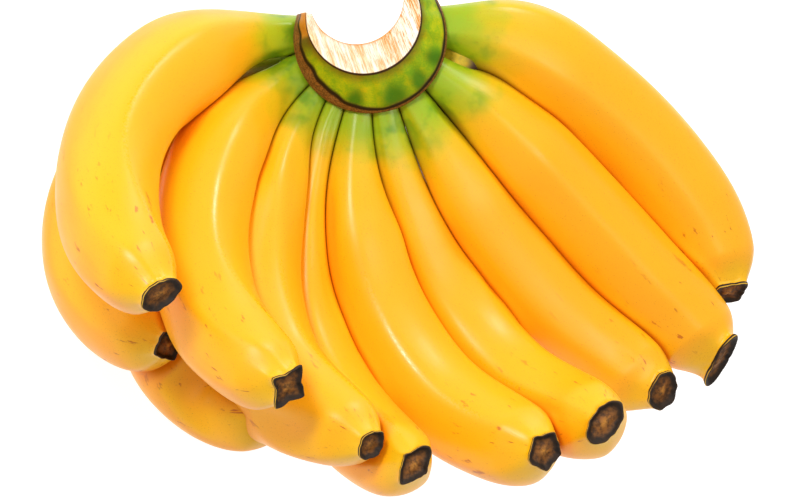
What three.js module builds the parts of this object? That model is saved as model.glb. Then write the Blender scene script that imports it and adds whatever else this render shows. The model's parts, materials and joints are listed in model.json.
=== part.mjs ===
// A hand of bananas, cut from its stalk and lying on its back row.
// Millimetres, +Z up. The crown is a crescent-shaped pad of green rind with a pale cut face
// on top. Each banana (neck, body and blossom end) is one solid that meets the crown's wall.
import * as THREE from "three";

// ---- driving dimensions of the bananas ------------------------------------
const lengthScale = 1; // of every banana's length
const girthScale = 1; // of every banana's thickness
const neckShare = 0.37; // neck thickness, as a share of the body's
const neckLength = 0.3; // share of the length over which the neck swells into the body
const neckBend = 0.2; // share of the length over which the neck bends
const neckStart = 0.35; // part of that bend already made at the crown's wall
const tipShare = 0.4; // blossom end's thickness, as a share of the body's
const tipLength = 0.28; // share of the length over which the body narrows
const curlBias = 1.2; // above 1 keeps the neck straighter than the rest
const skinGap = 1.2; // clearance between bananas that press on each other
const padDepth = 1.5; // how far the lowest bellies are flattened by the table

// ---- driving dimensions of the crown --------------------------------------
const crownRadius = 29; // outer wall of the crown, where the necks leave it
const crownHeight = 59.5; // of the crown's centre, before the bunch is set on the table
const footLevel = -22; // underside, along the crown's axis
const backRow = -14; // level of the back row's necks
const frontRow = 0; // level of the front row's necks
const rimLevel = 8; // leaf-scar rim, above the front row's necks
const rimStep = 1.5; // how far the rim stands out, and how thick it is
const cutLevel = 23; // cut face
const cutRadius = 23; // outer edge of the cut face
const cutOffset = [-2, 6]; // of the cut face's centre from the crown's axis: the stump leans
const notchRadius = 19; // hollow side of the crescent, where the stalk was
const notchOffset = [-5, 14]; // of the hollow's centre from the crown's axis
const hornAngles = [164, 425]; // where the two horns of the crescent end, about the axis
const neckGap = 0.8; // clearance between a neck and the crown's wall

// ---- attitude of the crown, in degrees --------------------------------------
const crownLean = 31; // between the crown's axis and the vertical
const crownBearing = 157; // compass direction, from +X, that the axis leans to
const crownSpin = -158; // turn about the crown's own axis

// ---- fineness of the solids --------------------------------------------------
const rings = 22; // cross-sections along a banana
const sides = 16; // corners of each cross-section
const crownSteps = 24; // spaces between the sections round the crown
const pressSteps = 14; // halvings in the search for a pressed surface

// ---- the bananas, front row first, then the back row that they lie on --------
// around:  where the neck leaves the crown, in degrees about the crown's axis
// bearing: direction that the neck bends to, in the same degrees
// swing:   how far the banana turns sideways from there to its blossom end
// dip:     how far the neck bends away from the cut face
// lift:    how far the banana curls back towards it
// length:  along its middle line, and girth: thickness of its body, in millimetres
const fingers = [
  // name, row, around, bearing, swing, dip, lift, length, girth
  ["front_1", frontRow, 176, 190, 131, -38, -4, 199, 41],
  ["front_2", frontRow, 205, 222, 108, -28, 0, 185, 39],
  ["front_3", frontRow, 228, 236, 95, -13, 9, 180, 36],
  ["front_4", frontRow, 240, 246, 91, 21, 80, 193, 36],
  ["front_5", frontRow, 261, 262, 82, 20, 55, 182, 39],
  ["front_6", frontRow, 280, 277, 64, 42, 100, 185, 37],
  ["front_7", frontRow, 303, 296, 32, 32, 16, 166, 36],
  ["front_8", frontRow, 331, 316, -3, 35, 14, 177, 40],
  ["front_9", frontRow, 370, 342, -54, 41, 24, 180, 39],
  ["back_1", backRow, 195, 180, 157, -2, 36, 197, 37],
  ["back_2", backRow, 218, 204, 153, 0, 50, 211, 39],
  ["back_3", backRow, 244, 244, 60, 50, 64, 154, 36],
  ["back_4", backRow, 269, 268, 22, 57, 48, 156, 36],
  ["back_5", backRow, 309, 312, 2, 58, 14, 160, 36],
  ["back_6", backRow, 345, 336, -15, 61, 14, 160, 36],
].map(([name, row, around, bearing, swing, dip, lift, length, girth]) => ({
  name, row, around, bearing, swing, dip, lift, length, girth,
}));

// ---- helpers -------------------------------------------------------------------
const radians = THREE.MathUtils.degToRad;
const { clamp, lerp } = THREE.MathUtils;
const smooth = (t) => t * t * (3 - 2 * t);

const crownTurn = new THREE.Matrix4()
  .makeRotationZ(radians(crownBearing))
  .multiply(new THREE.Matrix4().makeRotationY(radians(crownLean)))
  .multiply(new THREE.Matrix4().makeRotationZ(radians(crownSpin)));
const crownPlace = new THREE.Matrix4().makeTranslation(0, 0, crownHeight).multiply(crownTurn);
const intoCrown = crownPlace.clone().invert();

// A point given by its distance from the crown's axis, its angle about it and its level.
function fromCrown(radius, angle, level) {
  const place = new THREE.Vector3(radius * Math.cos(angle), radius * Math.sin(angle), level);
  return place.applyMatrix4(crownPlace);
}

// A closed surface over a list of rings of corners, with a pole in the middle of each end.
function closedSkin(loops) {
  const count = loops[0].length;
  const pole = (loop) =>
    loop.reduce((sum, p) => sum.add(p), new THREE.Vector3()).divideScalar(count);
  const places = [...loops.flat(), pole(loops[0]), pole(loops.at(-1))];
  const firstPole = places.length - 2;
  const lastLoop = (loops.length - 1) * count;
  const faces = [];
  for (let j = 0; j < count; j++) {
    const k = (j + 1) % count;
    for (let low = 0; low < lastLoop; low += count) {
      const high = low + count;
      faces.push(low + j, low + k, high + k, low + j, high + k, high + j);
    }
    faces.push(firstPole, k, j, firstPole + 1, lastLoop + j, lastLoop + k);
  }
  const geometry = new THREE.BufferGeometry().setFromPoints(places);
  geometry.setIndex(faces);
  geometry.computeVertexNormals();
  return geometry;
}

// ---- middle lines of the bananas -------------------------------------------------
// Half the thickness of a banana at a share of its length.
function halfThickness(finger, share) {
  const neck = lerp(neckShare, 1, smooth(clamp(share / neckLength, 0, 1)));
  const taper = clamp((1 - share) / tipLength, 0, 1);
  const tip = lerp(tipShare, 1, Math.sqrt(1 - (1 - taper) ** 2));
  return ((girthScale * finger.girth) / 2) * neck * tip;
}

// Direction of a banana's middle line at a share of its length.
function heading(finger, share) {
  const bend = lerp(neckStart, 1, smooth(clamp(share / neckBend, 0, 1)));
  const curl = share ** curlBias;
  const bearing = radians(lerp(finger.around, finger.bearing, bend) + finger.swing * curl);
  const pitch = radians(finger.lift * curl - finger.dip * bend);
  return new THREE.Vector3(
    Math.cos(pitch) * Math.cos(bearing),
    Math.cos(pitch) * Math.sin(bearing),
    Math.sin(pitch),
  ).transformDirection(crownTurn);
}

// Middle line, half thickness and the two directions across each cross-section.
function spineOf(finger) {
  const length = lengthScale * finger.length;
  const step = 1 / (rings - 1);
  let point = fromCrown(crownRadius + neckGap, radians(finger.around), finger.row);
  let across = new THREE.Vector3(0, 0, 1).transformDirection(crownTurn);
  const spine = [];
  for (let i = 0; i < rings; i++) {
    const along = heading(finger, i * step);
    across = across.clone().addScaledVector(along, -across.dot(along)).normalize();
    const side = new THREE.Vector3().crossVectors(along, across);
    spine.push({ point, along, across, side, radius: halfThickness(finger, i * step) });
    point = point.clone().addScaledVector(heading(finger, (i + 0.5) * step), length * step);
  }
  return spine;
}

// ---- surfaces of the bananas -------------------------------------------------------
// How far a place lies outside a banana's round shape (negative inside it).
function outside(spine, place) {
  let nearest = Infinity;
  for (let i = 1; i < spine.length; i++) {
    const [from, to] = [spine[i - 1], spine[i]];
    const span = to.point.clone().sub(from.point);
    const offset = place.clone().sub(from.point);
    const t = clamp(offset.dot(span) / span.lengthSq(), 0, 1);
    const gap = offset.distanceTo(span.multiplyScalar(t)) - lerp(from.radius, to.radius, t);
    nearest = Math.min(nearest, gap);
  }
  return nearest;
}

// Pulls a surface point towards its own middle line until every neighbour has its room, so
// that two bananas that press on each other share a flattened contact.
function pressed(own, others, middle, place) {
  const isFree = (point) => {
    const mine = outside(own, point);
    return others.every((other) => outside(other, point) - mine >= skinGap);
  };
  if (isFree(place)) return place;
  let inner = 0;
  let outer = 1;
  for (let i = 0; i < pressSteps; i++) {
    const t = (inner + outer) / 2;
    if (isFree(middle.clone().lerp(place, t))) inner = t;
    else outer = t;
  }
  return middle.clone().lerp(place, inner);
}

// Slides a point along a direction until it lies on the crown's outer wall, with the gap.
function ontoWall(place, along) {
  const local = place.clone().applyMatrix4(intoCrown);
  const course = along.clone().transformDirection(intoCrown);
  const wall = crownRadius + neckGap;
  const a = course.x ** 2 + course.y ** 2;
  const b = local.x * course.x + local.y * course.y;
  const c = local.x ** 2 + local.y ** 2 - wall ** 2;
  const root = Math.sqrt(Math.max(b * b - a * c, 0));
  return place.clone().addScaledVector(along, (root - b) / a);
}

// Keeps a point of a banana outside the crown: under the rim at the wall, clear of it beyond.
function clearOfCrown(place, atWall) {
  const local = place.clone().applyMatrix4(intoCrown);
  const least = crownRadius + neckGap + (atWall ? 0 : 2 * rimStep);
  const reach = Math.hypot(local.x, local.y);
  if (atWall) local.z = Math.min(local.z, rimLevel - 2 * neckGap);
  if (reach < least) {
    local.x *= least / reach;
    local.y *= least / reach;
  }
  return local.applyMatrix4(crownPlace);
}

const spines = fingers.map(spineOf);

// The lowest belly decides where the table is.
const bellies = spines
  .flat()
  .map(({ point, along, radius }) => point.z - radius * Math.hypot(along.x, along.y));
const tableLevel = Math.min(...bellies) + padDepth;

function fingerGeometry(index) {
  const own = spines[index];
  const others = spines.filter((_, i) => i !== index);
  const loops = own.map(({ point, along, across, side, radius }, i) => {
    const atWall = i === 0;
    const loop = [];
    for (let j = 0; j < sides; j++) {
      const turn = (2 * Math.PI * j) / sides;
      const place = point
        .clone()
        .addScaledVector(across, radius * Math.cos(turn))
        .addScaledVector(side, radius * Math.sin(turn));
      const free = pressed(own, others, point, place);
      const kept = clearOfCrown(atWall ? ontoWall(free, along) : free, atWall);
      kept.z = Math.max(kept.z, tableLevel);
      loop.push(kept);
    }
    return loop;
  });
  return closedSkin(loops);
}

// ---- surface of the crown ------------------------------------------------------------
// Distance from the crown's axis to a circle beside the axis, in a direction about the axis.
function reachTo([x, y], radius, angle) {
  const ahead = x * Math.cos(angle) + y * Math.sin(angle);
  const aside = y * Math.cos(angle) - x * Math.sin(angle);
  return ahead + Math.sqrt(radius ** 2 - aside ** 2);
}

// One cross-section of the crown at an angle about its axis: down the hollow side, out along
// the foot, up the wall, over the rim and in across the cut face.
function crownSection(angle) {
  const hollow = reachTo(notchOffset, notchRadius, angle);
  const cut = Math.max(reachTo(cutOffset, cutRadius, angle), hollow + rimStep);
  const outline = [
    [hollow, (footLevel + cutLevel) / 2],
    [hollow, cutLevel],
    [(cut + hollow) / 2, cutLevel],
    [cut, cutLevel],
    [(crownRadius + cut + rimStep) / 2, (rimLevel + cutLevel) / 2 + rimStep],
    [crownRadius + rimStep / 2, rimLevel + 2 * rimStep],
    [crownRadius + rimStep, rimLevel + rimStep / 2],
    [crownRadius, rimLevel],
    [crownRadius, footLevel + 2 * rimStep],
    [crownRadius - rimStep, footLevel],
    [(hollow + crownRadius) / 2, footLevel],
    [hollow, footLevel],
  ];
  return outline.map(([radius, level]) => fromCrown(radius, angle, level));
}

function crownGeometry() {
  const loops = [];
  for (let i = 0; i <= crownSteps; i++)
    loops.push(crownSection(radians(lerp(...hornAngles, i / crownSteps))));
  return closedSkin(loops);
}

// ---- the bunch --------------------------------------------------------------------------
const skinFinish = { color: 0xf7b41a, roughness: 0.42, metalness: 0 };
const rindFinish = { color: 0x7f9a2a, roughness: 0.55, metalness: 0 };

const bunch = new THREE.Group();
function addPiece(name, geometry, finish) {
  const mesh = new THREE.Mesh(geometry, new THREE.MeshStandardMaterial(finish));
  mesh.name = name;
  bunch.add(mesh);
}
addPiece("crown", crownGeometry(), rindFinish);
fingers.forEach(({ name }, i) => addPiece(name, fingerGeometry(i), skinFinish));

// The origin is under the middle of the bunch, on the table.
const extent = new THREE.Box3().setFromObject(bunch, true);
const middle = extent.getCenter(new THREE.Vector3());
bunch.position.set(-middle.x, -middle.y, -extent.min.z);

export default bunch;
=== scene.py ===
"""A hand of bananas lying on a pale table, seen from above its blossom ends.

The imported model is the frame. Every banana's solid is read back as a grid of rings, which
a spline refines into a smooth skin with soft ridges, a filled contact line against its
neighbours and a sculpted blossom end. The crown's solid is refined in the same way, and
a web of flesh that has no solid of its own joins the necks below it.
"""
import json
import math

import bpy
import numpy as np
from mathutils import Matrix, Vector
from mathutils.bvhtree import BVHTree

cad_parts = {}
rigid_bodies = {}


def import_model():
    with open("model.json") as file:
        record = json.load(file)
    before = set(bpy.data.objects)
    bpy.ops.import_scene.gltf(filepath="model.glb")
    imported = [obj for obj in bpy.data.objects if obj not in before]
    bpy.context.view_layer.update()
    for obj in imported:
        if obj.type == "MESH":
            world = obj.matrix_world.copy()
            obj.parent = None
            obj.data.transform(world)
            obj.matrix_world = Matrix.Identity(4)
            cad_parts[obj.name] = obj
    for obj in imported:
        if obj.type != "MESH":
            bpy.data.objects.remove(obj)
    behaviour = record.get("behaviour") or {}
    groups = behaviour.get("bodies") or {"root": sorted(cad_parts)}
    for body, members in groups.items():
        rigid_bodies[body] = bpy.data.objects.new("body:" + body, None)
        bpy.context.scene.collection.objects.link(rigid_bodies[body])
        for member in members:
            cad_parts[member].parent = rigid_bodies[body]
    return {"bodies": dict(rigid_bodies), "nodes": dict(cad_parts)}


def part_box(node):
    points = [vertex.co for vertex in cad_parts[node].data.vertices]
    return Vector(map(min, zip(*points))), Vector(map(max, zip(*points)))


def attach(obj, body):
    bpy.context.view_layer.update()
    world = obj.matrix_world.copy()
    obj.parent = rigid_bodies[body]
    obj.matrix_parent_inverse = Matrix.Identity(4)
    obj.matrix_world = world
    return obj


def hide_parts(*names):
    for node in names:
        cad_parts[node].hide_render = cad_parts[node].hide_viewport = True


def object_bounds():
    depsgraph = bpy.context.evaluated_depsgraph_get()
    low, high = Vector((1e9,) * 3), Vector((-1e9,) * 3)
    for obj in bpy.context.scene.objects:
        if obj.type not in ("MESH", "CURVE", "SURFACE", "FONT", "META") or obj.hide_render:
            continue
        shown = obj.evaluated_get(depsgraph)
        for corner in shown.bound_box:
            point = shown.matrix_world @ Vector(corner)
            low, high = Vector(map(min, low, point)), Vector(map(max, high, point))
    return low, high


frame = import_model()
cad_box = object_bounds()
body = next(iter(frame["bodies"]))
MM = 0.001

# ---- camera ----------------------------------------------------------------------------
VIEW_TILT = math.radians(26.1)  # of the view, from straight down
VIEW_BEARING = math.radians(-9.9)  # of the world's up in the picture, from its right
VIEW_ROLL = math.radians(-0.7)
VIEW_WIDTH = 0.320  # width of the picture at the bunch
VIEW_DISTANCE = 5.0
AIM_RIGHT = 0.2 * MM  # the picture's centre, from the middle of the bunch
AIM_UP = -10.4 * MM
SENSOR = 36.0

# ---- fineness of the skins -------------------------------------------------------------
RINGS = 22  # cross-sections of a banana's solid
SIDES = 16  # corners of each cross-section
FINE_AROUND = 112
FINE_ALONG = 170
CAP_RINGS = 30

# ---- skin ------------------------------------------------------------------------------
NECK_ROOT = 2.5 * MM  # how far a neck runs on into the crown
RIDGE_COUNT = 5
RIDGE_POWER = 9.0
EVEN_TIMES = 8  # passes that even out a banana's skin
EVEN_ALONG = 6  # passes along the skin for each pass around it
RIDGE_HEIGHT = 0.5  # share of a full pentagon's corners that the skin shows


def smoothstep(low, high, value):
    t = np.clip((value - low) / (high - low), 0.0, 1.0)
    return t * t * (3.0 - 2.0 * t)


def unit(v):
    return v / np.maximum(np.linalg.norm(v, axis=-1, keepdims=True), 1e-12)


# =========================================================================================
# camera
# =========================================================================================
def view_axes():
    """The picture's right and up, and the direction from the bunch to the camera."""
    world_up = Vector(
        (
            math.sin(VIEW_TILT) * math.cos(VIEW_BEARING),
            math.sin(VIEW_TILT) * math.sin(VIEW_BEARING),
            math.cos(VIEW_TILT),
        )
    )
    lean = Vector((0, 0, 1)).rotation_difference(world_up).to_matrix()
    turn = Matrix.Rotation(VIEW_ROLL, 3, "Z") @ lean
    return turn[0].copy(), turn[1].copy(), turn[2].copy()


view_right, view_up, view_back = view_axes()
middle = (cad_box[0] + cad_box[1]) / 2
aim = middle + view_right * AIM_RIGHT + view_up * AIM_UP


def at_view(right, up, back):
    """A place given along the picture's axes, from the point that the camera looks at."""
    return aim + view_right * right + view_up * up + view_back * back


def make_camera():
    data = bpy.data.cameras.new("camera")
    data.sensor_width = SENSOR
    data.lens = SENSOR * VIEW_DISTANCE / VIEW_WIDTH
    data.clip_start = 0.1
    data.clip_end = 50.0
    cam = bpy.data.objects.new("camera", data)
    axes = Matrix((view_right, view_up, view_back)).transposed()
    cam.matrix_world = Matrix.Translation(at_view(0, 0, VIEW_DISTANCE)) @ axes.to_4x4()
    bpy.context.scene.collection.objects.link(cam)
    bpy.context.scene.camera = cam


make_camera()


# =========================================================================================
# splines
# =========================================================================================
def spline(points, knots, where):
    """Cubic spline with natural ends through points (first axis) at knots."""
    n = len(knots)
    h = np.diff(knots)
    a = np.zeros((n, n))
    b = np.zeros(points.shape)
    a[0, 0] = a[-1, -1] = 1.0
    shape = (-1,) + (1,) * (points.ndim - 1)
    slope = np.diff(points, axis=0) / h.reshape(shape)
    for i in range(1, n - 1):
        a[i, i - 1] = h[i - 1]
        a[i, i] = 2.0 * (h[i - 1] + h[i])
        a[i, i + 1] = h[i]
        b[i] = 6.0 * (slope[i] - slope[i - 1])
    bend = np.linalg.solve(a, b.reshape(n, -1)).reshape(points.shape)
    k = np.clip(np.searchsorted(knots, where, side="right") - 1, 0, n - 2)
    t = (where - knots[k]).reshape(shape)
    u = (knots[k + 1] - where).reshape(shape)
    w = h[k].reshape(shape)
    curved = (bend[k] * u**3 + bend[k + 1] * t**3) / (6.0 * w)
    left = (points[k] / w - bend[k] * w / 6.0) * u
    right = (points[k + 1] / w - bend[k + 1] * w / 6.0) * t
    return curved + left + right


def spline_round(points, count):
    """Closed cubic spline through evenly spaced points (first axis), at count places."""
    n = len(points)
    wrap = 4
    padded = np.concatenate([points[-wrap:], points, points[:wrap]])
    knots = np.arange(-wrap, n + wrap, dtype=float)
    return spline(padded, knots, np.arange(count) * (n / count))


# =========================================================================================
# reading the solids back as grids
# =========================================================================================
def welded(node):
    """A solid's corners without doubles, and which of them its edges join."""
    mesh = frame["nodes"][node].data
    co = np.empty(len(mesh.vertices) * 3)
    mesh.vertices.foreach_get("co", co)
    co = co.reshape(-1, 3)
    keys = np.round(co / (0.002 * MM)).astype(np.int64)
    _, first, index = np.unique(keys, axis=0, return_index=True, return_inverse=True)
    index = index.reshape(-1)
    joined = [set() for _ in first]
    for edge in mesh.edges:
        i, j = (int(index[v]) for v in edge.vertices)
        if i != j:
            joined[i].add(j)
            joined[j].add(i)
    return co[first], joined


def grid_of(co, joined, pole, rings, sides):
    """Rings of corners, walked from a pole, each corner in line with the ring before."""
    level = {pole: 0}
    front = [pole]
    while front:
        reached = []
        for v in front:
            for w in joined[v]:
                if w not in level:
                    level[w] = level[v] + 1
                    reached.append(w)
        front = reached
    start = min(joined[pole])
    ring = [start]
    while len(ring) < sides:
        nexts = [w for w in joined[ring[-1]] if level[w] == 1 and w not in ring]
        ring.append(min(nexts))
    grid = [ring]
    for i in range(1, rings):
        best = None
        for step in (-1, 1):
            row = []
            for j in range(sides):
                shared = joined[ring[j]] & joined[ring[(j + step) % sides]]
                row.append(next(w for w in shared if level[w] == i + 1))
            length = sum(np.linalg.norm(co[a] - co[b]) for a, b in zip(ring, row))
            if best is None or length < best[0]:
                best = (length, row)
        ring = best[1]
        grid.append(ring)
    return np.array([[co[v] for v in row] for row in grid])


crown_lo, crown_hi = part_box("crown")
crown_middle = np.array((crown_lo + crown_hi) / 2)


def banana_rings(node):
    co, joined = welded(node)
    ends = [v for v, near in enumerate(joined) if len(near) == SIDES]
    pole = min(ends, key=lambda v: np.linalg.norm(co[v] - crown_middle))
    return grid_of(co, joined, pole, RINGS, SIDES)


# =========================================================================================
# mesh helpers
# =========================================================================================
def grid_normals(grid):
    """Outward normals of a grid that is closed around and open along."""
    along = np.gradient(grid, axis=0)
    around = np.roll(grid, -1, axis=1) - np.roll(grid, 1, axis=1)
    normal = unit(np.cross(around, along))
    centre = grid.mean(axis=1, keepdims=True)
    if np.sum(normal * (grid - centre)) < 0:
        normal = -normal
    return normal


def tube_faces(rows, cols):
    i, j = np.meshgrid(np.arange(rows - 1), np.arange(cols), indexing="ij")
    k = (j + 1) % cols
    quads = np.stack([i * cols + j, i * cols + k, (i + 1) * cols + k, (i + 1) * cols + j], -1)
    return quads.reshape(-1, 4)


def closed_tube(name, grid, material, attributes):
    """A closed mesh from a grid: quads between the rows and a fan at each end."""
    rows, cols = grid.shape[:2]
    ends = np.stack([grid[0].mean(axis=0), grid[-1].mean(axis=0)])
    co = np.concatenate([grid.reshape(-1, 3), ends])
    quads = tube_faces(rows, cols)
    first = rows * cols
    j = np.arange(cols)
    k = (j + 1) % cols
    low = np.stack([np.full(cols, first), k, j], -1)
    high = np.stack([np.full(cols, first + 1), (rows - 1) * cols + j, (rows - 1) * cols + k], -1)
    faces = quads.tolist() + low.tolist() + high.tolist()
    mesh = bpy.data.meshes.new(name)
    mesh.from_pydata(co.tolist(), [], faces)
    volume = np.sum(
        np.cross(grid[:-1] - ends[0], np.roll(grid[:-1], -1, axis=1) - ends[0])
        * (grid[1:] - ends[0])
    )
    if volume < 0:
        mesh.flip_normals()
    mesh.shade_smooth()
    for key, values in attributes.items():
        wide = values.ndim == 3
        flat = values.reshape(-1, 3) if wide else values.reshape(-1)
        tail = np.stack([values[0].mean(axis=0), values[-1].mean(axis=0)])
        data = np.concatenate([flat, tail]).astype(np.float32)
        kind = "FLOAT_VECTOR" if wide else "FLOAT"
        layer = mesh.attributes.new(key, kind, "POINT")
        layer.data.foreach_set("vector" if wide else "value", data.reshape(-1))
    mesh.materials.append(material)
    obj = bpy.data.objects.new(name, mesh)
    bpy.context.scene.collection.objects.link(obj)
    return obj


def tree_of(grid):
    rows, cols = grid.shape[:2]
    return BVHTree.FromPolygons(grid.reshape(-1, 3).tolist(), tube_faces(rows, cols).tolist())


# =========================================================================================
# bananas
# =========================================================================================
# ridge:   turn of the first ridge about the banana, at its neck, middle and blossom end
# glint:   from where to where along the banana its first ridge is smoother, and how much
# corners: of the blossom end's outline, and star: how far they stand out
# wide, tall: size of the blossom end in mm, turn: of its long axis, in degrees
# face:    how far the blossom end turns from the banana's own direction to the camera's
# back:    how far in mm it sits back from the end of the solid
BANANAS = {
    "front_1": dict(ridge=(0, 2, -50), glint=(0.40, 0.97, 1.0), corners=3, star=0.03,
                    wide=18, tall=12.5, turn=12, face=0.1, back=0),
    "front_2": dict(ridge=(-14, -18, -85), glint=(0.45, 0.97, 1.0), corners=4, star=0.20,
                    wide=15, tall=14, turn=52, face=0.3, back=0),
    "front_3": dict(ridge=(-2, -32, -58), glint=(0.5, 0.97, 0.7), corners=4, star=0.05,
                    wide=12.5, tall=10.5, turn=38, face=0.4, back=0),
    "front_4": dict(ridge=(0, -6, -12), glint=(0.82, 0.95, 0.7), corners=4, star=0.09,
                    wide=16.5, tall=10.5, turn=50, face=0.2, back=0),
    "front_5": dict(ridge=(8, 0, 0), glint=(0.38, 0.86, 0.8), corners=5, star=0.07,
                    wide=15, tall=13, turn=60, face=0.5, back=0),
    "front_6": dict(ridge=(20, 14, 2), glint=(0.62, 0.82, 0.6), corners=2, star=0.10,
                    wide=17.5, tall=12.5, turn=52, face=0.5, back=0),
    "front_7": dict(ridge=(20, 14, 8), glint=(0.3, 0.5, 0.15), corners=3, star=0.03,
                    wide=16.5, tall=13.5, turn=75, face=0.55, back=1),
    "front_8": dict(ridge=(-88, -84, -78), glint=(0.2, 0.75, 0.35), corners=2, star=0.16,
                    wide=23, tall=11, turn=62, face=0.4, back=2),
    "front_9": dict(ridge=(-68, -68, -68), glint=(0.05, 0.4, 0.3), corners=4, star=0.12,
                    wide=15, tall=14, turn=30, face=0.42, back=1),
    "back_1": dict(ridge=(10, 0, -10), glint=(0.0, 0.1, 0.0), corners=4, star=0.10,
                   wide=12, tall=11, turn=20, face=0.3, back=0),
    "back_2": dict(ridge=(10, 0, -10), glint=(0.0, 0.1, 0.0), corners=4, star=0.06,
                   wide=12, tall=11, turn=10, face=0.0, back=10),
    "back_3": dict(ridge=(10, 0, -10), glint=(0.0, 0.1, 0.0), corners=5, star=0.06,
                   wide=12, tall=11, turn=10, face=0, back=14),
    "back_4": dict(ridge=(10, 0, -10), glint=(0.0, 0.1, 0.0), corners=3, star=0.06,
                   wide=12, tall=11, turn=50, face=0, back=9),
    "back_5": dict(ridge=(10, 0, -10), glint=(0.0, 0.1, 0.0), corners=4, star=0.06,
                   wide=13, tall=11, turn=30, face=0, back=0),
    "back_6": dict(ridge=(10, 0, -10), glint=(0.0, 0.1, 0.0), corners=5, star=0.06,
                   wide=13, tall=12, turn=80, face=0, back=0),
}

# banana: where along it, over what share of it, towards the picture's right and up, and mm
BULGES = {
    "front_3": ((0.72, 0.17, (-0.85, -0.5), 12.0),),
    "back_1": ((0.6, 0.25, (-1.0, -0.1), 2.0),),
    "back_2": ((0.6, 0.2, (-0.85, -0.5), 5.0),),
    "front_8": ((0.12, 0.07, (0.3, 1.0), 2.5),),
    "front_9": ((0.16, 0.14, (0.1, 1.0), 4.0), (0.12, 0.08, (-0.3, -1.0), 4.5)),
}

# banana: how far its blossom end is moved to the picture's right, up and back, in mm
SHIFTS = {
    "front_1": (1.0, -3.4, 0.0),
    "front_2": (2.4, -0.8, 0.0),
    "front_3": (5.6, 1.4, 0.0),
    "front_4": (2.8, -2.0, 0.0),
    "front_5": (4.8, 1.2, 0.0),
    "front_6": (4.8, 1.6, 0.0),
    "front_7": (1.2, 4.0, 0.0),
    "front_8": (-0.6, 5.0, 0.0),
    "front_9": (0.0, 2.0, 0.0),
    "back_1": (3.6, 0.0, 0.0),
    "back_2": (0.0, 0.0, 32.0),
}
SHIFT_REACH = 60 * MM  # length over which a banana bends to its moved end

# banana: how much more orange than the rest
ORANGE = {"back_2": 0.35, "back_1": 0.1}

# banana: how much fuller than the solid its blossom end is, low in the picture, in mm
PLUMP = {
    "front_4": 1.0,
    "front_5": 1.5,
    "front_6": 1.5,
    "front_7": 3.2,
    "front_8": 2.5,
    "front_9": 1.5,
}
PLUMP_LEAST = 0.5  # the same for the other bananas
PLUMP_BACK = 17 * MM  # where along the end it is fullest, and over what length
PLUMP_SPREAD = 13 * MM


class Skin:
    """One banana's fine grid, with what is known about each of its points."""

    def __init__(self, node, look, number):
        self.node = node
        self.look = look
        self.number = number
        rings = banana_rings(node)
        root = rings[0] - unit(rings[1].mean(axis=0) - rings[0].mean(axis=0)) * NECK_ROOT
        rings = np.concatenate([root[None], rings])
        centres = rings.mean(axis=1)
        steps = np.linalg.norm(np.diff(centres, axis=0), axis=1)
        knots = np.concatenate([[0.0], np.cumsum(steps)])
        self.length = knots[-1] - look["back"] * MM
        where = np.linspace(0.0, self.length, FINE_ALONG)
        lines = spline(rings, knots, where)
        grid = np.swapaxes(spline_round(np.swapaxes(lines, 0, 1), FINE_AROUND), 0, 1)
        self.grid = soften(grid, EVEN_TIMES)
        self.along = np.repeat((where / self.length)[:, None], FINE_AROUND, axis=1)
        fuller = np.exp(-(((self.length - where) - PLUMP_BACK) / PLUMP_SPREAD) ** 2)
        swell = fuller * PLUMP.get(node, PLUMP_LEAST) * MM
        normal = grid_normals(self.grid)
        below = np.clip(-(normal @ np.array(view_up)), 0.0, 1.0)
        self.grid = self.grid + normal * (swell[:, None] * below)[..., None]
        for place, spread, (right, up), size in BULGES.get(node, ()):
            way = unit(np.array(view_right) * right + np.array(view_up) * up)
            here = np.exp(-(((self.along - place) / spread) ** 2))
            toward = np.clip(grid_normals(self.grid) @ way, 0, 1)
            self.grid = self.grid + (here * toward * size * MM)[..., None] * way
        right, up, away = SHIFTS.get(node, (0.0, 0.0, 0.0))
        share = smoothstep(SHIFT_REACH, 0.0, self.length - where)[:, None, None]
        move = view_right * right + view_up * up - view_back * away
        self.grid = self.grid + share * np.array(move) * MM
        self.distance = np.repeat(where[:, None], FINE_AROUND, axis=1)
        mid = FINE_ALONG // 2
        centre = self.grid[mid].mean(axis=0)
        facing = (self.grid[mid] - centre) @ np.array(view_back)
        front = 2 * math.pi * int(np.argmax(facing)) / FINE_AROUND
        forward = unit(self.grid[mid + 2].mean(axis=0) - self.grid[mid - 2].mean(axis=0))
        turned = np.cross(self.grid[mid] - centre, np.roll(self.grid[mid], -1, axis=0) - centre)
        sense = 1.0 if np.sum(turned @ forward) > 0 else -1.0
        column = np.arange(FINE_AROUND) * (2 * math.pi / FINE_AROUND)
        self.angle = sense * (column - front)


def soften(grid, times):
    """Evens out the small waves that the coarse corners leave in a grid."""
    grid = grid.copy()
    for _ in range(times):
        around = (np.roll(grid, 1, axis=1) + np.roll(grid, -1, axis=1)) / 2
        grid += 0.5 * (around - grid)
        for _ in range(EVEN_ALONG):
            inner = (grid[:-2] + grid[2:]) / 2
            grid[1:-1] += 0.5 * (inner - grid[1:-1])
    return grid


def smooth_field(field, times):
    field = field.copy()
    for _ in range(times):
        field = (np.roll(field, 1, axis=1) + np.roll(field, -1, axis=1) + 2 * field) / 4
        field[1:-1] = (field[:-2] + field[2:] + 2 * field[1:-1]) / 4
    return field


skins = [Skin(node, look, k) for k, (node, look) in enumerate(BANANAS.items())]

GAP_SEEN = 7 * MM  # neighbours further off than this leave no mark
GAP_FILLED = 3.5 * MM  # gaps below this start to close
GAP_LEFT = 0.12 * MM  # what the swelling leaves open between two skins


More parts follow.
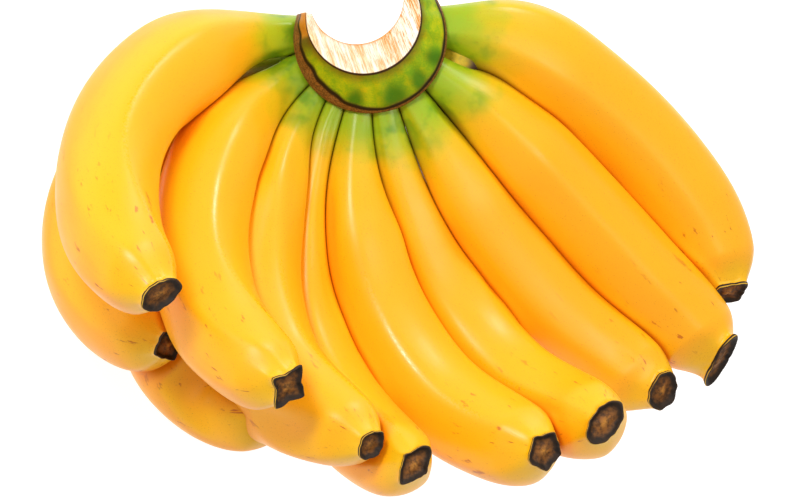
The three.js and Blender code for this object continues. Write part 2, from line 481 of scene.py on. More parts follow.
def measure_gaps():
    """Distance from each skin to its neighbours, and how far it swells to meet them."""
    trees = {s.node: tree_of(s.grid) for s in skins}
    boxes = {s.node: (s.grid.min(axis=(0, 1)), s.grid.max(axis=(0, 1))) for s in skins}
    for s in skins:
        normal = grid_normals(s.grid)
        points = s.grid.reshape(-1, 3)
        gap = np.full(len(points), GAP_SEEN)
        facing = np.zeros(len(points))
        flat_normal = normal.reshape(-1, 3)
        for other in skins:
            if other is s:
                continue
            low, high = boxes[other.node]
            inside = np.all((points > low - GAP_SEEN) & (points < high + GAP_SEEN), axis=1)
            tree = trees[other.node]
            for i in np.nonzero(inside)[0]:
                hit = tree.find_nearest(points[i].tolist(), float(gap[i]))
                if hit[0] is not None and hit[3] < gap[i]:
                    gap[i] = hit[3]
                    way = (np.array(hit[0]) - points[i]) / max(hit[3], 1e-9)
                    facing[i] = max(0.0, float(way @ flat_normal[i]))
        shape = s.grid.shape[:2]
        s.gap = gap.reshape(shape)
        closing = 1.0 - smoothstep(GAP_FILLED * 0.45, GAP_FILLED, s.gap)
        swell = 0.5 * np.maximum(s.gap - GAP_LEFT, 0.0) * closing
        s.swell = smooth_field(swell * smoothstep(0.2, 0.8, facing.reshape(shape)), 3)


def pentagon(angle):
    """Radius of a five-sided section with rounded corners, about 1 on average."""
    total = np.zeros_like(angle)
    for k in range(RIDGE_COUNT):
        face = 2 * math.pi * (k + 0.5) / RIDGE_COUNT
        total = total + np.maximum(0.0, np.cos(angle - face)) ** RIDGE_POWER
    return total ** (-1.0 / RIDGE_POWER)


PENTAGON_MEAN = float(pentagon(np.linspace(0, 2 * math.pi, 360, endpoint=False)).mean())


def ridge_angle(s):
    """Angle from the first ridge, which winds a little along the banana."""
    neck, mid, tip = (math.radians(v) for v in s.look["ridge"])
    t = s.along
    first = neck + (mid - neck) * smoothstep(0, 0.5, t)
    first = first + (tip - mid) * np.clip(2 * t - 1, 0, 1) ** 2
    return s.angle[None, :] - first


def wave(seed, angle, distance, count):
    """A smooth, seeded unevenness over a skin, about -1 to 1."""
    rng = np.random.default_rng(seed)
    total = np.zeros(np.broadcast(angle, distance).shape)
    for _ in range(count):
        turns = rng.integers(0, 4)
        pitch = rng.uniform(20, 90)
        phase = rng.uniform(0, 2 * math.pi, 2)
        total += np.cos(turns * angle + phase[0]) * np.cos(distance * pitch + phase[1])
    return total / count


UNEVEN = 0.25 * MM
HOLLOWS = 0.7  # how deep the skin sinks between the ridges, against how far they stand out


def shape_body(s):
    """Ridges, a slight unevenness, and the swelling that closes the gaps."""
    centre = s.grid.mean(axis=1, keepdims=True)
    radius = np.linalg.norm(s.grid - centre, axis=-1)
    normal = grid_normals(s.grid)
    angle = ridge_angle(s)
    s.ridge_turn = angle
    free = smoothstep(1.5 * MM, 5 * MM, s.gap) * smoothstep(0.0, 4 * MM, s.grid[:, :, 2])
    strength = RIDGE_HEIGHT * (1.0 - 0.25 * smoothstep(0.7, 1.0, s.along))
    ridge = radius * (pentagon(angle) / PENTAGON_MEAN - 1.0) * strength
    uneven = UNEVEN * wave(100 + s.number, angle, s.distance, 6)
    push = (ridge + uneven) * free
    push = np.where(push > 0, push, push * HOLLOWS)
    s.grid = s.grid + normal * (smooth_field(push, 2) + s.swell)[..., None]
    s.grid[:, :, 2] = np.maximum(s.grid[:, :, 2], 0.0)


CAP_PROFILE = (  # share of the outline's size, and height in mm, from the rim inwards
    (1.00, 0.0), (1.02, 0.5), (1.03, 1.0), (1.0, 1.45), (0.94, 1.5), (0.87, 1.1),
    (0.78, 0.4), (0.64, -0.1), (0.48, -0.2), (0.32, 0.1), (0.16, 0.4), (0.03, 0.45),
)
CAP_BLEND = 15 * MM  # length over which the body rounds off to the blossom end's outline
CAP_TILT = 46 * MM  # length over which a banana curls over to its blossom end's direction
CAP_ROUND = 2.0  # 1 is a straight taper, 2 an elliptical one


def shape_cap(s):
    """Blossom end: the body takes its outline, then a rolled rim and a dished middle."""
    look = s.look
    grid = s.grid
    centres = grid.mean(axis=1)
    n = unit(centres[-1] - centres[-4])
    n = unit(n * (1 - look["face"]) + np.array(view_back) * look["face"])
    e1 = np.array(view_right) - n * (np.array(view_right) @ n)
    if np.linalg.norm(e1) < 0.3:
        e1 = np.array(view_up) - n * (np.array(view_up) @ n)
    e1 = unit(e1)
    turn = math.radians(look["turn"])

    def outline(phi):
        local = phi - turn
        a, b = look["wide"] * MM / 2, look["tall"] * MM / 2
        oval = a * b / np.sqrt((b * np.cos(local)) ** 2 + (a * np.sin(local)) ** 2)
        flank = np.sqrt(np.sin(look["corners"] * local / 2) ** 2 + 0.004)
        lobes = look["star"] * (2.6 * (1 - flank) - 0.9)
        fine = 0.02 * np.cos(7 * phi + s.number) + 0.015 * np.cos(11 * phi + 2 * s.number)
        return oval * (1.0 + lobes + fine)

    # the last stretch curls over to the blossom end's direction
    back = s.length - s.distance
    turned = np.clip(1.0 - back[:, :1] / CAP_TILT, 0.0, 1.0) ** 2
    own = unit(np.gradient(centres, axis=0))
    way = unit(own + (n - own) * turned)
    steps = np.linalg.norm(np.diff(centres, axis=0), axis=1)
    curled = centres.copy()
    offset = grid - centres[:, None]
    for i in range(1, len(grid)):
        if turned[i, 0] > 0:
            curled[i] = curled[i - 1] + way[i] * steps[i - 1]
            turn_over = Vector(own[i]).rotation_difference(Vector(way[i])).to_matrix()
            offset[i] = offset[i] @ np.array(turn_over).T
    # and rounds off to the blossom end's outline
    near = np.clip(back / CAP_BLEND, 0.0, 1.0)
    round_off = (1.0 - (1.0 - near) ** CAP_ROUND) ** (1.0 / CAP_ROUND)
    way = way[:, None, :]
    across = unit(e1 - way * np.sum(way * e1, axis=-1, keepdims=True))
    upward = np.cross(way, across)
    tilt = np.sum(offset * way, axis=-1, keepdims=True)
    flat = offset - way * tilt
    x, y = np.sum(flat * across, axis=-1), np.sum(flat * upward, axis=-1)
    phi = np.arctan2(y, x)
    rho = np.linalg.norm(flat, axis=-1)
    target = outline(phi)
    new_rho = target + (rho - target) * round_off
    plane = np.cos(phi)[..., None] * across + np.sin(phi)[..., None] * upward
    grid = curled[:, None] + plane * new_rho[..., None] + way * tilt * round_off[..., None]
    end_centre = curled[-1]
    n = way[-1, 0]

    profile = np.array(CAP_PROFILE)
    knots = np.linspace(0, 1, len(profile))
    t = np.linspace(0, 1, CAP_RINGS + 1)[1:]
    shares, heights = spline(profile, knots, t).T
    end_phi = phi[-1]
    end_rho = outline(end_phi)
    rng = np.random.default_rng(500 + s.number)
    bumps = rng.uniform(-1, 1, (6, 3))
    rows = []
    for share, high, part in zip(shares, heights, t):
        wrinkle = sum(
            b[0] * np.cos((k + 2) * end_phi + 6 * b[1] + 9 * part * b[2])
            for k, b in enumerate(bumps)
        )
        high_mm = high + 0.14 * wrinkle * math.sin(math.pi * min(part, 0.95))
        flat = plane[-1] * (end_rho * share)[:, None]
        rows.append(end_centre + flat + n * (high_mm * MM)[:, None])
    s.cap = np.concatenate([np.zeros(len(grid)), t])
    s.cap = np.repeat(s.cap[:, None], FINE_AROUND, axis=1)
    s.grid = np.concatenate([grid, np.array(rows)])

    def longer(field):
        return np.concatenate([field, np.repeat(field[-1:], CAP_RINGS, axis=0)])

    s.along = longer(s.along)
    s.distance = longer(s.distance)
    s.gap = longer(s.gap)
    s.ridge_turn = longer(s.ridge_turn)


CREASE_SHADE_WIDE = 3.0 * MM  # gaps below this get painted shade
# banana: how much wider, in mm, the painted shade in the gap beside its neck is than elsewhere
NECK_SHADE_WEDGES = {"front_7": 1.5, "front_8": 3.0, "front_9": 3.0}
WEDGE_PLACE = 20 * MM  # from the neck's root
WEDGE_LONG = 11 * MM
CREST_WIDE = 1.4 * MM
STREAK_RADIUS = 0.019  # of the straight banana that the streaks are drawn on
STREAK_APART = 0.4  # between one banana's streaks and the next one's


def paint(s):
    """What the skin's material reads: fields that are fixed to the surface."""
    normal = grid_normals(s.grid)
    radius = np.linalg.norm(s.grid - s.grid.mean(axis=1, keepdims=True), axis=-1)
    turn = s.ridge_turn
    wrapped = (turn + math.pi) % (2 * math.pi) - math.pi
    first, last, strength = s.look["glint"]
    inside = smoothstep(first - 0.08, first + 0.05, s.along)
    inside = inside * (1 - smoothstep(last - 0.05, last + 0.06, s.along))
    crest = np.exp(-((wrapped * radius / CREST_WIDE) ** 2))
    neck_shade_wedge = np.exp(-(((s.distance - WEDGE_PLACE) / WEDGE_LONG) ** 2))
    crease_shade_wide = CREASE_SHADE_WIDE + neck_shade_wedge * NECK_SHADE_WEDGES.get(s.node, 0.0) * MM
    straight = np.stack(
        [
            STREAK_RADIUS * np.cos(s.angle)[None, :] * np.ones_like(s.along),
            STREAK_RADIUS * np.sin(s.angle)[None, :] * np.ones_like(s.along),
            s.distance + STREAK_APART * s.number,
        ],
        axis=-1,
    )
    return dict(
        along=s.along,
        neck=s.distance / MM,
        tip=(s.length - s.distance) / MM,
        cap=s.cap,
        # painted shade: darkens the narrowest gaps between bananas, wider beside some necks
        crease_shade=1.0 - smoothstep(0.4 * MM, crease_shade_wide, s.gap),
        # painted shade: the skin turns more orange within a few mm of a neighbouring banana
        shade=1.0 - smoothstep(1.0 * MM, GAP_SEEN, s.gap),
        glint=crest * inside * strength,
        # painted shade: more orange on the sides that face down, plus each banana's own orange tone
        shade_and_tone=1.0 - smoothstep(0.1, 0.95, normal[:, :, 2]) + ORANGE.get(s.node, 0.0),
        straight=straight,
    )


# =========================================================================================
# materials
# =========================================================================================
def srgb(r, g, b):
    """Linear colour from 0-255 display values."""
    out = []
    for c in (r, g, b):
        c /= 255.0
        out.append(c / 12.92 if c <= 0.04045 else ((c + 0.055) / 1.055) ** 2.4)
    return (*out, 1.0)


class Nodes:
    """Short ways to add the few node kinds that the materials use."""

    def __init__(self, name):
        self.material = bpy.data.materials.new(name)
        self.material.use_nodes = True
        self.tree = self.material.node_tree
        self.shader = self.tree.nodes["Principled BSDF"]

    def add(self, kind, **settings):
        node = self.tree.nodes.new(kind)
        for key, value in settings.items():
            setattr(node, key, value)
        return node

    def join(self, source, socket):
        if isinstance(source, (int, float, tuple)):
            socket.default_value = source
        else:
            self.tree.links.new(source, socket)

    def field(self, name, out="Fac"):
        return self.add("ShaderNodeAttribute", attribute_name=name).outputs[out]

    def math(self, operation, a, b=0.0):
        node = self.add("ShaderNodeMath", operation=operation)
        self.join(a, node.inputs[0])
        self.join(b, node.inputs[1])
        return node.outputs[0]

    def swing(self, value, size):
        """A noise's swing about its middle."""
        return self.math("MULTIPLY", self.math("SUBTRACT", value, 0.5), size)

    def span(self, value, low, high, to_low=0.0, to_high=1.0):
        node = self.add("ShaderNodeMapRange", interpolation_type="SMOOTHSTEP")
        self.join(value, node.inputs["Value"])
        for key, number in zip(
            ("From Min", "From Max", "To Min", "To Max"), (low, high, to_low, to_high)
        ):
            node.inputs[key].default_value = number
        return node.outputs["Result"]

    def mix(self, fac, a, b, blend="MIX"):
        node = self.add("ShaderNodeMix", data_type="RGBA", blend_type=blend)
        self.join(fac, node.inputs[0])
        self.join(a, node.inputs[6])
        self.join(b, node.inputs[7])
        return node.outputs[2]

    def noise(self, vector, scale, detail=3.0, roughness=0.5, distortion=0.0):
        node = self.add("ShaderNodeTexNoise")
        self.join(vector, node.inputs["Vector"])
        node.inputs["Scale"].default_value = scale
        node.inputs["Detail"].default_value = detail
        node.inputs["Roughness"].default_value = roughness
        node.inputs["Distortion"].default_value = distortion
        return node.outputs["Fac"]

    def scaled(self, vector, factors):
        node = self.add("ShaderNodeVectorMath", operation="MULTIPLY")
        self.join(vector, node.inputs[0])
        node.inputs[1].default_value = factors
        return node.outputs["Vector"]

    def ramp(self, fac, stops):
        node = self.add("ShaderNodeValToRGB")
        self.join(fac, node.inputs[0])
        ramp = node.color_ramp
        while len(ramp.elements) > 1:
            ramp.elements.remove(ramp.elements[-1])
        ramp.elements[0].position, ramp.elements[0].color = stops[0]
        for place, colour in stops[1:]:
            ramp.elements.new(place).color = colour
        return node.outputs["Color"]

    def bump(self, height, strength, distance):
        node = self.add("ShaderNodeBump")
        node.inputs["Strength"].default_value = strength
        node.inputs["Distance"].default_value = distance
        self.join(height, node.inputs["Height"])
        return node.outputs["Normal"]


def skin_material():
    m = Nodes("banana_skin")
    place = m.add("ShaderNodeTexCoord").outputs["Object"]
    straight = m.field("straight", "Vector")
    streaky = m.scaled(straight, (1.0, 1.0, 0.12))

    cloud = m.noise(place, 28.0, 3.0)
    streak = m.noise(streaky, 420.0, 4.0, 0.6)
    # painted shade: the skin is more orange where it faces down and near its neighbours, with
    # cloudy and streaky tone and each banana's own orange on top
    shade_and_tone = m.math("ADD", m.field("shade_and_tone"), m.math("MULTIPLY", m.field("shade"), 0.35))
    shade_and_tone = m.math("ADD", shade_and_tone, m.swing(cloud, 0.5))
    shade_and_tone = m.math("ADD", shade_and_tone, m.swing(streak, 0.25))
    colour = m.ramp(
        shade_and_tone,
        [
            (0.0, srgb(253, 174, 20)),
            (0.25, srgb(254, 179, 16)),
            (0.55, srgb(255, 182, 14)),
            (0.8, srgb(255, 178, 12)),
            (1.0, srgb(254, 166, 10)),
        ],
    )
    # green at the neck, fading through yellow-green
    patch = m.swing(m.noise(place, 70.0, 2.0), 22.0)
    neck = m.math("ADD", m.field("neck"), patch)
    colour = m.mix(m.span(neck, 44.0, 12.0), colour, srgb(206, 180, 12))
    colour = m.mix(m.span(neck, 28.0, 2.0), colour, srgb(146, 176, 18))
    mottle = m.math("MULTIPLY", m.span(neck, 30.0, 6.0), m.span(m.noise(place, 90.0), 0.48, 0.66))
    colour = m.mix(m.math("MULTIPLY", mottle, 0.75), colour, srgb(92, 140, 16))
    # yellow-green beside the blossom end
    tip = m.math("ADD", m.field("tip"), m.math("MULTIPLY", patch, 0.5))
    colour = m.mix(m.span(tip, 12.0, 2.0, 0.0, 0.4), colour, srgb(226, 190, 14))
    # fine brown speckle and short rusty scratches near the blossom end
    speck = m.noise(place, 2200.0, 1.0, 0.4)
    colour = m.mix(m.span(speck, 0.64, 0.74, 0.0, 0.4), colour, srgb(176, 92, 10))
    scratch = m.span(m.noise(m.scaled(straight, (1.0, 1.0, 0.3)), 260.0, 3.0, 0.7), 0.63, 0.70)
    where = m.span(m.field("along"), 0.5, 0.95, 0.04, 0.8)
    colour = m.mix(m.math("MULTIPLY", scratch, where), colour, srgb(186, 84, 14))
    # painted shade in the narrow gaps between bananas, dark brown near the necks
    crease_shade = m.field("crease_shade")
    near_neck = m.span(m.field("neck"), 60.0, 8.0, 0.35, 0.9)
    crease_shade_colour = m.mix(m.span(m.field("neck"), 70.0, 20.0), srgb(196, 96, 8), srgb(90, 48, 10))
    colour = m.mix(m.math("MULTIPLY", crease_shade, near_neck), colour, crease_shade_colour)
    # blossom end
    cap = m.field("cap")
    crumble = m.noise(place, 420.0, 4.0, 0.65)
    worn = m.math("ADD", cap, m.swing(crumble, 0.05))
    end = m.ramp(
        worn,
        [
            (0.00, srgb(26, 16, 6)),
            (0.20, srgb(30, 18, 7)),
            (0.25, srgb(78, 48, 14)),
            (0.42, srgb(36, 22, 8)),
            (0.56, srgb(52, 32, 10)),
            (0.64, srgb(110, 66, 18)),
            (0.80, srgb(140, 84, 24)),
            (1.00, srgb(186, 122, 40)),
        ],
    )
    end = m.mix(m.span(crumble, 0.36, 0.62, 0.7, 0.0), end, srgb(20, 12, 6))
    off_rim = m.math("ABSOLUTE", m.math("SUBTRACT", worn, 0.22))
    gilt = m.math("MULTIPLY", m.span(off_rim, 0.045, 0.015), m.span(cloud, 0.42, 0.52))
    end = m.mix(gilt, end, srgb(214, 166, 44))
    on_cap = m.span(cap, 0.005, 0.05)
    colour = m.mix(on_cap, colour, end)
    m.join(colour, m.shader.inputs["Base Color"])

    rough = m.span(m.noise(place, 60.0, 3.0), 0.3, 0.7, 0.32, 0.42)
    # the crest of a ridge is smoother, in small broken patches
    sparks = m.span(m.noise(place, 900.0, 2.0, 0.7), 0.44, 0.56, 0.25, 1.0)
    smooth = m.math("MULTIPLY", m.field("glint"), sparks)
    rough = m.math("SUBTRACT", rough, m.math("MULTIPLY", smooth, 0.22))
    rough = m.math("ADD", rough, m.math("MULTIPLY", on_cap, 0.3))
    m.join(rough, m.shader.inputs["Roughness"])
    m.shader.inputs["IOR"].default_value = 1.42
    pores = m.noise(place, 2600.0, 2.0, 0.5)
    height = m.math("ADD", m.math("MULTIPLY", pores, 0.35), m.math("MULTIPLY", streak, 0.65))
    height = m.math("ADD", height, m.math("MULTIPLY", m.math("MULTIPLY", crumble, on_cap), 6.0))
    m.join(m.bump(height, 0.35, 0.0002), m.shader.inputs["Normal"])
    return m.material


measure_gaps()
banana_skin = skin_material()
for s in skins:
    shape_body(s)
    shape_cap(s)
    piece = closed_tube(s.node + "_skin", s.grid, banana_skin, paint(s))
    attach(piece, body)
    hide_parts(s.node)


# =========================================================================================
# crown
# =========================================================================================
CROWN_SECTIONS = 25
CROWN_POINTS = 12
CROWN_FINE = 260  # sections round the crescent
SPAN_FINE = 12  # rows between two points of a section's outline
CROWN_LEAN = math.radians(31)  # the crown's axis, from the vertical
CROWN_BEARING = math.radians(157)
HORN_ROWS = 10  # rows that round off each horn
HORN_DOME = 2.2 * MM
ANGLE_LEAST = 120  # degrees about the axis run on past 360 towards the right horn
FIBRE_WAY = math.radians(70)  # of the cut face's fibres, down from the picture's right

crown_axis = np.array(
    (
        math.sin(CROWN_LEAN) * math.cos(CROWN_BEARING),
        math.sin(CROWN_LEAN) * math.sin(CROWN_BEARING),
        math.cos(CROWN_LEAN),
    )
)
crown_x = unit(np.array(view_right) - crown_axis * (np.array(view_right) @ crown_axis))
crown_y = np.cross(crown_axis, crown_x)


def crown_grid():
    """The crescent's sections from its right horn to its left.

    Outline points: 1 to 3 the cut face from its hollow edge to its outer edge, 3 to 5 the
    green band, 5 to 7 the rim, 7 to 10 the wall and the foot, 10 to 12 the hollow.
    """
    co, joined = welded("crown")
    # the right horn's pole is the only corner with this many neighbours
    start = next(v for v, near in enumerate(joined) if len(near) == CROWN_POINTS)
    grid = grid_of(co, joined, start, CROWN_SECTIONS, CROWN_POINTS)
    mid = grid[CROWN_SECTIONS // 2]
    out = mid.mean(axis=0) - (grid[0].mean(axis=0) + grid[-1].mean(axis=0)) / 2
    level = mid @ crown_axis
    high = [level[j - 1] + level[j] + level[(j + 1) % CROWN_POINTS] for j in range(CROWN_POINTS)]
    top = int(np.argmax(high))
    before, after = mid[top - 1] @ out, mid[(top + 1) % CROWN_POINTS] @ out
    if before > after:
        grid = grid[:, ::-1]
        top = CROWN_POINTS - 1 - top
    return np.roll(grid, 2 - top, axis=1)


def crown_centre(grid):
    """Where the crown's axis passes, from the circle that the rim makes."""
    rim = grid[:, 6] - crown_middle
    x, y = rim @ crown_x, rim @ crown_y
    fit = np.linalg.lstsq(np.stack([2 * x, 2 * y, np.ones_like(x)], -1), x**2 + y**2, rcond=None)
    cx, cy = fit[0][:2]
    middle_level = (grid[:, 5] - crown_middle) @ crown_axis
    return crown_middle + crown_x * cx + crown_y * cy + crown_axis * middle_level.mean()


def fine_outline(sections):
    """Refines each section, keeping the two edges of the cut face crisp."""
    rows = np.swapaxes(sections, 0, 1)
    face = spline(rows[[1, 2, 3]], np.arange(3.0), np.arange(2 * SPAN_FINE) / SPAN_FINE)
    rest = rows[[3, 4, 5, 6, 7, 8, 9, 10, 11, 0, 1]]
    count = 10 * SPAN_FINE
    wall = spline(rest, np.arange(11.0), np.arange(count) / SPAN_FINE)
    v = np.concatenate([1 + np.arange(2 * SPAN_FINE) / SPAN_FINE, 3 + np.arange(count) / SPAN_FINE])
    return np.swapaxes(np.concatenate([face, wall]), 0, 1), v


def crown_polar(points):
    """Angle about the crown's axis in degrees, radius and level, for points."""
    arm = points - axis_point
    x, y = arm @ crown_x, arm @ crown_y
    return np.degrees(np.arctan2(y, x)) % 360, np.hypot(x, y), arm @ crown_axis


coarse_crown = crown_grid()
axis_point = crown_centre(coarse_crown)

# angle about the axis in degrees, and radius in mm, of the dark green blotches on the band
BLOTCHES = ((257, 4.4), (292, 6.6), (317, 4.2), (341, 4.6))


def shape_crown():
    sections = spline(
        coarse_crown,
        np.arange(float(CROWN_SECTIONS)),
        np.linspace(0, CROWN_SECTIONS - 1, CROWN_FINE),
    )
    grid, v = fine_outline(sections)
    u = np.linspace(1, 0, CROWN_FINE)  # share of the way from the left horn to the right
    v = np.repeat(v[None, :], CROWN_FINE, axis=0)
    angle, _, _ = crown_polar(grid.mean(axis=1))
    angle = np.where(angle < ANGLE_LEAST, angle + 360, angle)
    turn = np.repeat(angle[:, None], grid.shape[1], axis=1)
    normal = grid_normals(grid)
    # the rim is a rolled lip with a groove, wide at the left and thin at the right
    broad = 1.0 - smoothstep(205, 285, turn)
    lip = np.exp(-(((v - 5.9) / 0.75) ** 2)) * (0.25 + 0.75 * broad)
    groove = np.exp(-(((v - 5.75) / 0.22) ** 2)) * (0.3 + 0.4 * broad)
    band = smoothstep(3.05, 3.5, v) * (1 - smoothstep(4.6, 5.1, v))
    lumps = 0.35 * np.cos(np.radians(turn) * 12.6 + 1.0) + 0.2 * np.cos(np.radians(turn) * 23.0)
    face = smoothstep(1.02, 1.25, v) * (1 - smoothstep(2.75, 2.98, v))
    # the cut face lies deeper at the tip of the left horn
    step = smoothstep(0.075, 0.095, u)[:, None]
    height = 0.7 * lip - 0.5 * groove + band * lumps
    grid = grid + normal * (height * MM)[..., None]
    grid = grid - crown_axis * (face * (0.35 + 0.9 * (1 - step)) * MM)[..., None]

    def dome(row, inner_row):
        middle_point = row.mean(axis=0)
        way = unit(middle_point - inner_row.mean(axis=0))
        t = np.linspace(0, math.pi / 2, HORN_ROWS + 1)[1:]
        return [
            middle_point + (row - middle_point) * max(math.cos(a), 0.04)
            + way * HORN_DOME * math.sin(a)
            for a in t
        ]

    right_horn = dome(grid[0], grid[2])[::-1]
    left_horn = dome(grid[-1], grid[-3])
    grid = np.concatenate([right_horn, grid, left_horn])

    def longer(field):
        head = np.repeat(field[:1], HORN_ROWS, axis=0)
        tail = np.repeat(field[-1:], HORN_ROWS, axis=0)
        return np.concatenate([head, field, tail])

    scar_top = 4.9 - 0.8 * broad
    scar = (v - scar_top) / (7.0 - scar_top)
    v, turn, scar = longer(v), longer(turn), longer(scar)
    u = longer(np.repeat(u[:, None], grid.shape[1], axis=1))
    _, radius_of, level_of = crown_polar(grid)
    band_level = level_of[:, (v[0] >= 3) & (v[0] <= 5)]
    low, high = band_level.min(), band_level.max()
    blotch = np.zeros_like(v)
    for place, size in BLOTCHES:
        across = np.radians(turn - place) * radius_of / MM
        down = (level_of - (low * 0.45 + high * 0.55)) / MM
        blotch = np.maximum(blotch, np.exp(-((across / size) ** 2) - (down / 5.0) ** 2))
    fibre_way = np.array(view_right) * math.cos(FIBRE_WAY)
    fibre_way = fibre_way - np.array(view_up) * math.sin(FIBRE_WAY)
    fibre_side = np.cross(crown_axis, fibre_way)
    arm = grid - axis_point
    fibre = np.stack([arm @ fibre_side, arm @ fibre_way, arm @ crown_axis], axis=-1)
    return grid, dict(outline=v, sweep=turn, share=u, blotch=blotch, scar=scar, fibre=fibre)


def crown_material():
    m = Nodes("crown_rind")
    place = m.add("ShaderNodeTexCoord").outputs["Object"]
    v = m.field("outline")
    u = m.field("share")
    sweep = m.field("sweep")
    fibre = m.field("fibre", "Vector")
    mottle = m.noise(place, 160.0, 4.0, 0.6)
    grain = m.noise(place, 1400.0, 2.0, 0.6)
    # green band
    tone = m.math("ADD", m.math("MULTIPLY", mottle, 0.7), m.math("MULTIPLY", grain, 0.3))
    green = m.ramp(
        tone,
        [
            (0.30, srgb(108, 150, 16)),
            (0.45, srgb(142, 172, 14)),
            (0.58, srgb(180, 186, 10)),
            (0.72, srgb(214, 190, 8)),
        ],
    )
    blot = m.math("MULTIPLY", m.field("blotch"), m.span(mottle, 0.2, 0.6, 0.75, 1.0))
    green = m.mix(m.span(blot, 0.05, 0.9, 0.0, 0.9), green, srgb(60, 112, 8))
    # brown shading towards the cut edge, the rim and the left horn
    shade = m.math("MAXIMUM", m.span(v, 3.75, 3.05, 0.0, 0.8), m.span(v, 4.6, 5.05, 0.0, 0.55))
    shade = m.math("MULTIPLY", shade, m.span(mottle, 0.25, 0.6, 0.5, 1.0))
    green = m.mix(shade, green, srgb(104, 76, 20))
    wall = m.mix(m.span(mottle, 0.4, 0.65), srgb(120, 130, 26), srgb(150, 112, 30))
    rind = m.mix(m.span(v, 7.0, 7.8), green, wall)
    rind = m.mix(m.span(u, 0.18, 0.08, 0.0, 0.85), rind, srgb(96, 62, 18))
    rind = m.mix(m.span(u, 0.085, 0.065), rind, srgb(196, 128, 34))
    # leaf-scar rim: two dark lines with brown between them
    across = m.field("scar")
    inside = m.math("MULTIPLY", m.span(across, -0.06, 0.04), m.span(v, 7.15, 6.95))
    scar = m.mix(m.span(grain, 0.35, 0.65), srgb(98, 62, 24), srgb(150, 100, 42))
    for line, wide in ((0.05, 0.09), (0.66, 0.20)):
        off = m.math("ABSOLUTE", m.math("SUBTRACT", across, line))
        scar = m.mix(m.span(off, wide, wide * 0.4), scar, srgb(42, 26, 10))
    colour = m.mix(inside, rind, scar)
    # cut face: cream, with orange-brown fibres
    thin = m.noise(m.scaled(fibre, (1.0, 0.06, 0.06)), 3400.0, 3.0, 0.75)
    broad = m.noise(m.scaled(fibre, (1.0, 0.12, 0.1)), 420.0, 3.0, 0.6)
    cream = m.mix(m.span(broad, 0.35, 0.65), srgb(255, 246, 230), srgb(250, 222, 178))
    amount = m.span(m.math("ADD", m.math("MULTIPLY", thin, 0.7), m.math("MULTIPLY", broad, 0.3)),
                    0.47, 0.57)
    denser = m.span(sweep, 270.0, 370.0, 0.6, 1.0)
    cut = m.mix(m.math("MULTIPLY", amount, denser), cream, srgb(214, 138, 50))
    cut = m.mix(m.span(v, 1.16, 1.02, 0.0, 0.85), cut, srgb(226, 138, 44))
    cut = m.mix(m.span(v, 2.94, 2.99, 0.0, 0.9), cut, srgb(70, 44, 18))
    on_face = m.math("MULTIPLY", m.span(v, 0.99, 1.01), m.span(v, 3.04, 2.99))
    colour = m.mix(on_face, colour, cut)
    edge = m.span(m.math("ABSOLUTE", m.math("SUBTRACT", v, 3.04)), 0.09, 0.03)
    colour = m.mix(edge, colour, srgb(58, 38, 14))
    hollow = m.mix(m.span(broad, 0.35, 0.6), srgb(226, 178, 110), srgb(176, 116, 48))
    in_hollow = m.math("MAXIMUM", m.span(v, 10.4, 10.9), m.span(v, 0.99, 0.97))
    colour = m.mix(in_hollow, colour, hollow)
    m.join(colour, m.shader.inputs["Base Color"])
    m.shader.inputs["Specular IOR Level"].default_value = 0.15
    m.join(m.math("ADD", m.span(grain, 0.3, 0.7, 0.42, 0.6), m.math("MULTIPLY", on_face, 0.3)),
           m.shader.inputs["Roughness"])
    relief = m.math("ADD", m.math("MULTIPLY", grain, 0.4),
                    m.math("MULTIPLY", m.math("MULTIPLY", thin, on_face), 1.2))
    m.join(m.bump(relief, 0.5, 0.0004), m.shader.inputs["Normal"])
    return m.material


grid, fields = shape_crown()
piece = closed_tube("crown_skin", grid, crown_material(), fields)
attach(piece, body)
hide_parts("crown")

# ---- flesh that joins the necks where they leave the crown -----------------------------
WEB_FROM, WEB_TO = 176, 378  # degrees about the crown's axis
WEB_INNER = 25 * MM  # radius of its inner edge
WEB_OUTER = 36  # mm, radius of its outer edge, before it widens and narrows
WEB_LEVEL = -20.5  # mm along the crown's axis
WEB_HALF = 6.0 * MM  # half of its thickness
WEB_ROWS, WEB_SIDES = 180, 32


def shape_web():
    rows = []
    for angle in np.linspace(WEB_FROM, WEB_TO, WEB_ROWS):
        reach = WEB_OUTER + 9 * smoothstep(300, 335, angle) - 12 * smoothstep(355, WEB_TO, angle)
        reach = reach - 6 * (1 - smoothstep(WEB_FROM, 196, angle))
        level = WEB_LEVEL + 1.5 * smoothstep(320, 345, angle)
        way = crown_x * math.cos(math.radians(angle)) + crown_y * math.sin(math.radians(angle))
        half = (reach * MM - WEB_INNER) / 2
        middle_radius = WEB_INNER + half
        ring = []
        for k in range(WEB_SIDES):
            a = 2 * math.pi * k / WEB_SIDES
            bulge = 1 + 0.08 * math.cos(angle * 0.32 + 2 * a)
            ring.append(
                axis_point
                + way * (middle_radius + half * math.cos(a) * bulge)
                + crown_axis * (level * MM + WEB_HALF * math.sin(a) * bulge)
            )
        rows.append(ring)
    return np.array(rows)


def web_material():
    m = Nodes("neck_web")
    place = m.add("ShaderNodeTexCoord").outputs["Object"]
    stain = m.noise(place, 190.0, 4.0, 0.6)
    colour = m.ramp(
        stain, [(0.35, srgb(172, 142, 10)), (0.5, srgb(206, 172, 12)), (0.65, srgb(232, 184, 18))]
    )
    # painted shade: the web's outer side darkens to brown
    colour = m.mix(m.span(m.field("outer"), 0.2, 0.7), colour, srgb(66, 38, 10))
    m.join(colour, m.shader.inputs["Base Color"])
    m.join(m.span(stain, 0.3, 0.7, 0.5, 0.7), m.shader.inputs["Roughness"])
    m.join(m.bump(m.noise(place, 700.0), 0.4, 0.0004), m.shader.inputs["Normal"])
    return m.material


web = shape_web()
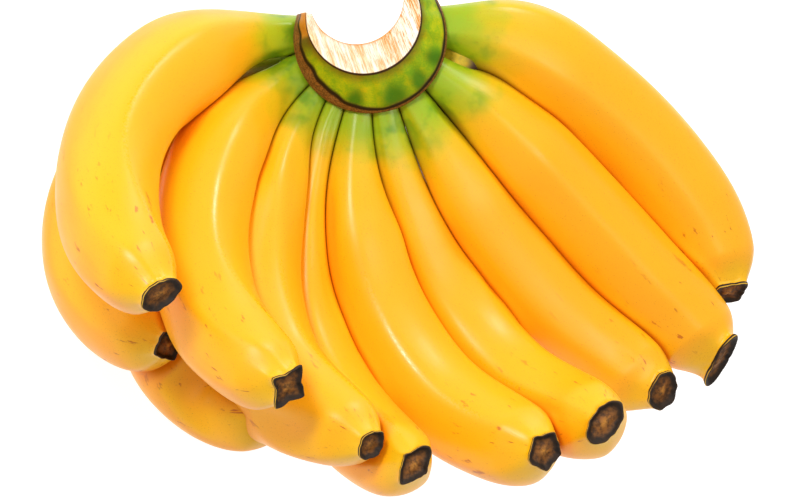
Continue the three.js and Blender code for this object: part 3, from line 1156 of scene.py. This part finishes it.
# which side of the web takes the painted shade, 1 on its outer edge
outer = np.cos(np.arange(WEB_SIDES) * (2 * math.pi / WEB_SIDES))
outer = np.repeat(outer[None, :], WEB_ROWS, axis=0)
piece = closed_tube("neck_web", web, web_material(), dict(outer=outer))
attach(piece, body)


# =========================================================================================
# floor, light and finish
# =========================================================================================
FLOOR_HALF = 6.0
FLOOR_GLOW = 0.85
WORLD_LIGHT = 0.5
# light: place to the right, up and back of the aim, its width, and its power in watts
LIGHTS = {
    "key": ((-0.32, 0.52, 1.05), 0.30, 7.4),
    "top": ((0.50, 0.95, 0.34), 0.25, 3.6),
    "fill": ((0.75, 0.05, 1.0), 0.6, 4.0),
}


def pale_floor():
    m = Nodes("pale_floor")
    place = m.add("ShaderNodeTexCoord").outputs["Object"]
    tone = m.mix(m.noise(place, 3.0), (0.5, 0.5, 0.5, 1.0), (0.52, 0.52, 0.52, 1.0))
    m.join(tone, m.shader.inputs["Base Color"])
    m.shader.inputs["Roughness"].default_value = 0.9
    m.shader.inputs["Specular IOR Level"].default_value = 0.1
    m.shader.inputs["Emission Color"].default_value = (1.0, 1.0, 1.0, 1.0)
    m.shader.inputs["Emission Strength"].default_value = FLOOR_GLOW
    mesh = bpy.data.meshes.new("floor")
    corners = [(x * FLOOR_HALF, y * FLOOR_HALF, 0) for x, y in ((-1, -1), (1, -1), (1, 1), (-1, 1))]
    mesh.from_pydata(corners, [], [(0, 1, 2, 3)])
    mesh.materials.append(m.material)
    floor = bpy.data.objects.new("floor", mesh)
    bpy.context.scene.collection.objects.link(floor)


def soft_light(name, place, size, power):
    data = bpy.data.lights.new(name, "AREA")
    data.shape = "DISK"
    data.size = size
    data.energy = power
    light = bpy.data.objects.new(name, data)
    light.location = place
    light.rotation_mode = "QUATERNION"
    light.rotation_quaternion = (aim - place).to_track_quat("-Z", "Y")
    bpy.context.scene.collection.objects.link(light)


def light_scene():
    world = bpy.data.worlds.new("world")
    world.use_nodes = True
    background = world.node_tree.nodes["Background"]
    background.inputs["Color"].default_value = (1.0, 1.0, 1.0, 1.0)
    background.inputs["Strength"].default_value = WORLD_LIGHT
    bpy.context.scene.world = world
    for name, (place, size, power) in LIGHTS.items():
        soft_light(name, at_view(*place), size, power)
    bpy.context.scene.view_settings.view_transform = "Standard"


pale_floor()
light_scene()
